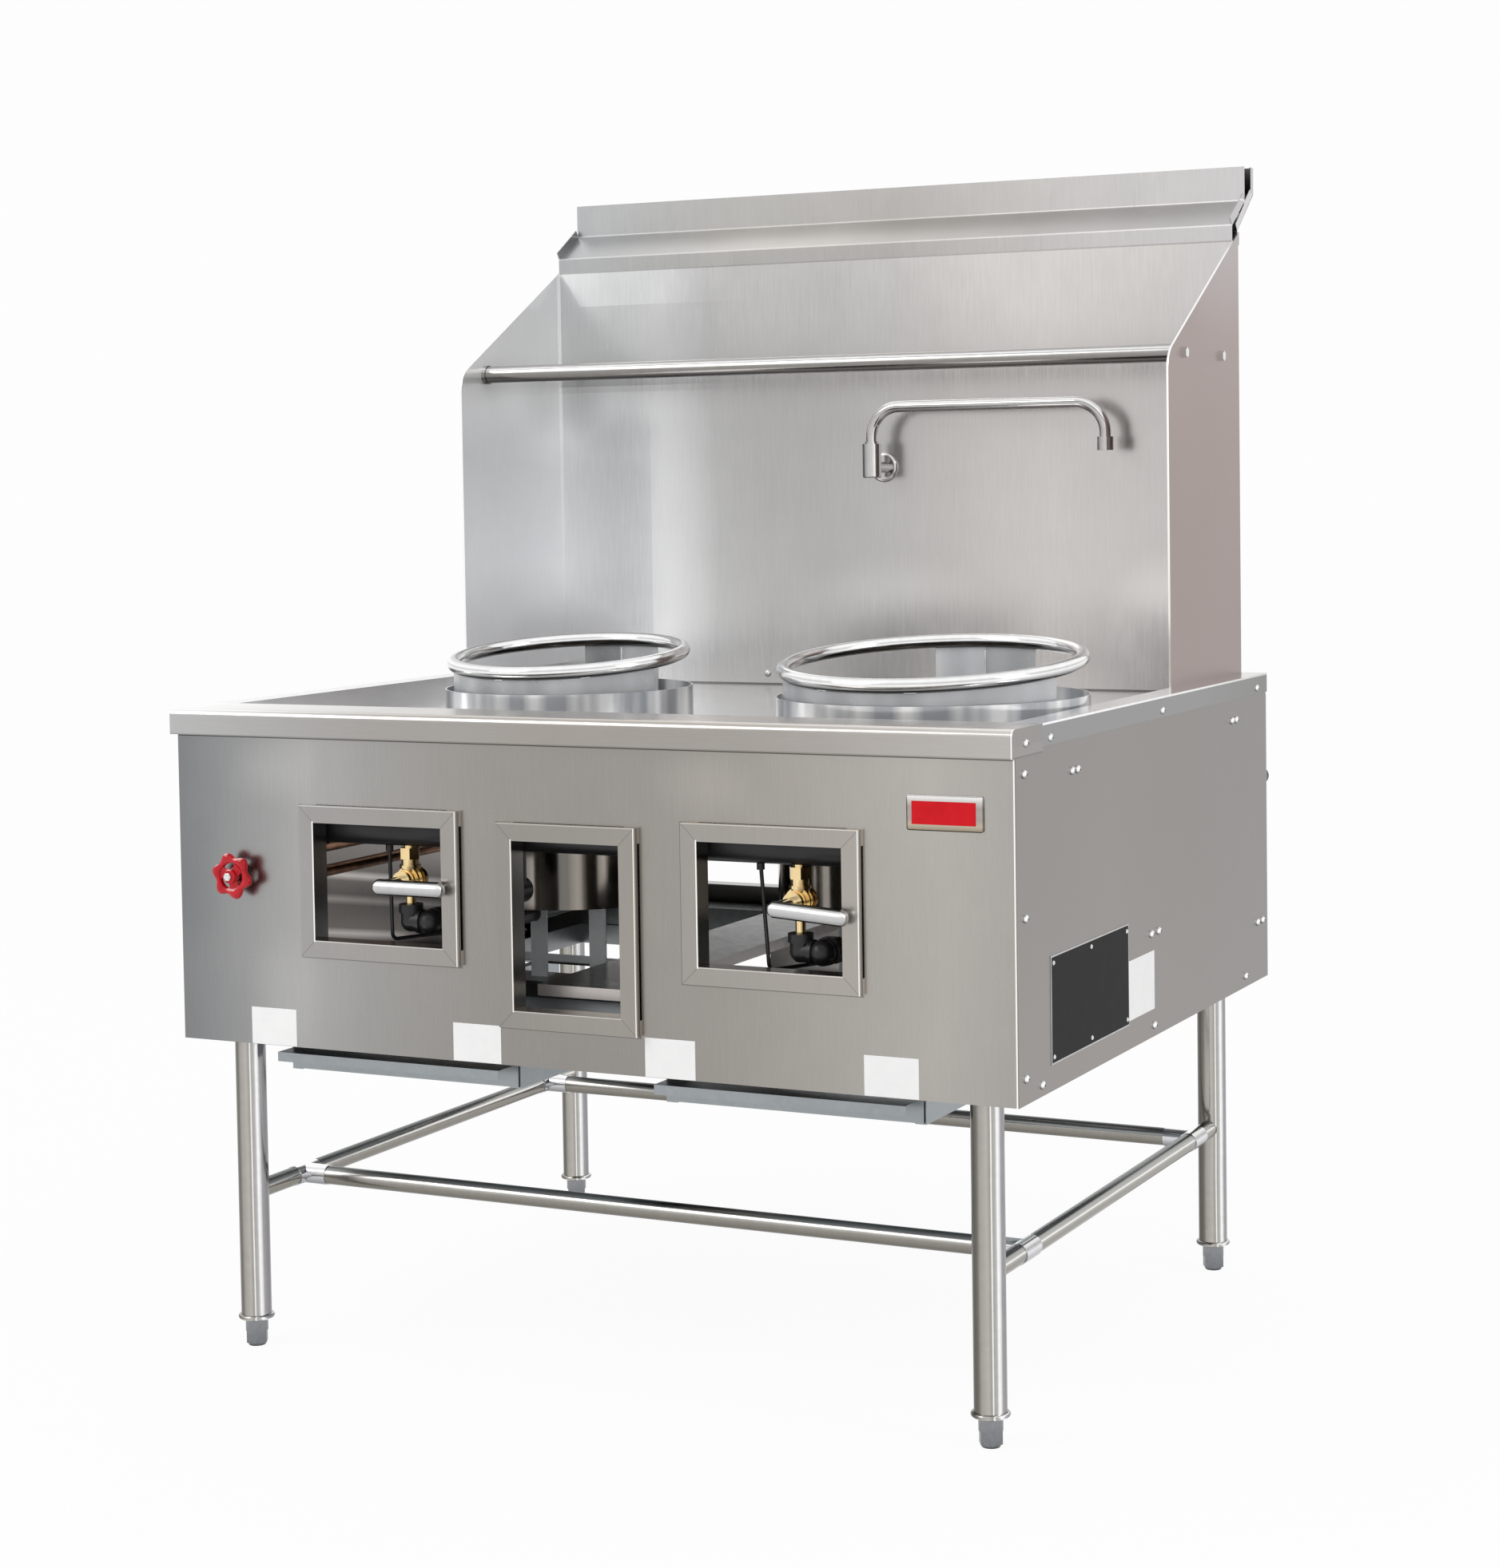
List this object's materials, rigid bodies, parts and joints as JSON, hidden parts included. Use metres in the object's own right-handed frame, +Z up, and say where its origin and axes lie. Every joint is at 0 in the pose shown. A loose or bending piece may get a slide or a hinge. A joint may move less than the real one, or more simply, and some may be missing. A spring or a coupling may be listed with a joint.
{
  "type": "wok range",
  "caption": "Free-standing stainless gas wok range with ring burners in a sunk deck, a splash with a pipe rack, a swing spout, and tube legs.",
  "frame": {"origin": "on the floor, under the middle of the overall width and depth", "axes": "+X to the cook's right, +Y to the back, +Z up"},
  "size_m": [1.2262, 1.115, 1.63],
  "materials": {
    "brushed_panels": "fine brushed stainless sheet",
    "polished_steel": "bright polished stainless",
    "bright_chrome": "polished chrome plating",
    "galvanized": "galvanized sheet, satin",
    "black_iron": "black iron pipe, satin",
    "cast_burner": "rough casting",
    "brass_valves": "machined yellow brass",
    "copper_pipe": "dull copper tube",
    "red_enamel": "glossy red enamel"
  },
  "bodies": {
    "range": {"base_frame": "galvanized", "burner_carrier": "galvanized", "burner_cradles": "galvanized", "burner_pipes": "black_iron", "center_shelf": "galvanized", "center_window_trim": "brushed_panels", "cross_rails": "polished_steel", "dome_screws": "bright_chrome", "faucet_body": "bright_chrome", "flue_back_sheet": "brushed_panels", "flue_box": "galvanized", "flue_cap_front": "brushed_panels", "flue_cap_rear": "brushed_panels", "front_left_leg": "polished_steel", "front_panel": "brushed_panels", "front_rail": "brushed_panels", "front_right_leg": "polished_steel", "gas_manifold": "black_iron", "left_burner": "cast_burner", "left_chamber": "polished_steel", "left_gas_valve": "brass_valves", "left_side_panel": "brushed_panels", "left_sleeve": "polished_steel", "left_splash_side": "brushed_panels", "left_window_trim": "brushed_panels", "left_wok_ring": "polished_steel", "pilot_tubes": "black_iron", "rack_bolts": "bright_chrome", "rack_rod": "polished_steel", "rail_tees": "polished_steel", "rear_channel": "galvanized", "rear_left_leg": "polished_steel", "rear_panel": "brushed_panels", "rear_right_leg": "polished_steel", "right_burner": "cast_burner", "right_chamber": "polished_steel", "right_gas_valve": "brass_valves", "right_side_panel": "brushed_panels", "right_sleeve": "polished_steel", "right_splash_side": "brushed_panels", "right_window_trim": "brushed_panels", "right_wok_ring": "polished_steel", "side_rails": "polished_steel", "splash_panel": "brushed_panels", "top_deck": "brushed_panels", "tray_runners": "galvanized", "water_pipes": "copper_pipe", "water_valve": "brass_valves"},
    "handwheel": {"handwheel": "red_enamel", "handwheel_stem": "bright_chrome"},
    "left_lever": {"left_lever": "bright_chrome"},
    "right_lever": {"right_lever": "bright_chrome"},
    "spout": {"faucet_spout": "bright_chrome", "spout_aerator": "bright_chrome"},
    "left_tray": {"left_tray": "galvanized"},
    "right_tray": {"right_tray": "galvanized"},
    "front_left_foot": {"front_left_foot": "polished_steel"},
    "front_right_foot": {"front_right_foot": "polished_steel"},
    "rear_left_foot": {"rear_left_foot": "polished_steel"},
    "rear_right_foot": {"rear_right_foot": "polished_steel"}
  },
  "joints": [
    {"name": "handwheel_turn", "type": "hinge", "parent": "range", "child": "handwheel", "pos_m": [-0.51, -0.541, 0.6576], "axis": [0, -1, 0], "range_deg": [0, 1080]},
    {"name": "left_lever_turn", "type": "hinge", "parent": "range", "child": "left_lever", "pos_m": [-0.272, -0.522, 0.655], "axis": [0, 1, 0], "range_deg": [0, 90]},
    {"name": "right_lever_turn", "type": "hinge", "parent": "range", "child": "right_lever", "pos_m": [0.3, -0.522, 0.655], "axis": [0, 1, 0], "range_deg": [-4, 86]},
    {"name": "spout_swing", "type": "hinge", "parent": "range", "child": "spout", "pos_m": [0.008, 0.403, 1.284], "axis": [0, 0, 1], "range_deg": [-180, 0]},
    {"name": "left_tray_slide", "type": "slide", "parent": "range", "child": "left_tray", "axis": [0, -1, 0], "range_m": [0, 0.45]},
    {"name": "right_tray_slide", "type": "slide", "parent": "range", "child": "right_tray", "axis": [0, -1, 0], "range_m": [0, 0.45]},
    {"name": "front_left_foot_screw", "type": "slide", "parent": "range", "child": "front_left_foot", "axis": [0, 0, -1], "range_m": [0, 0.025]},
    {"name": "front_right_foot_screw", "type": "slide", "parent": "range", "child": "front_right_foot", "axis": [0, 0, -1], "range_m": [0, 0.025]},
    {"name": "rear_left_foot_screw", "type": "slide", "parent": "range", "child": "rear_left_foot", "axis": [0, 0, -1], "range_m": [0, 0.025]},
    {"name": "rear_right_foot_screw", "type": "slide", "parent": "range", "child": "rear_right_foot", "axis": [0, 0, -1], "range_m": [0, 0.025]}
  ]
}
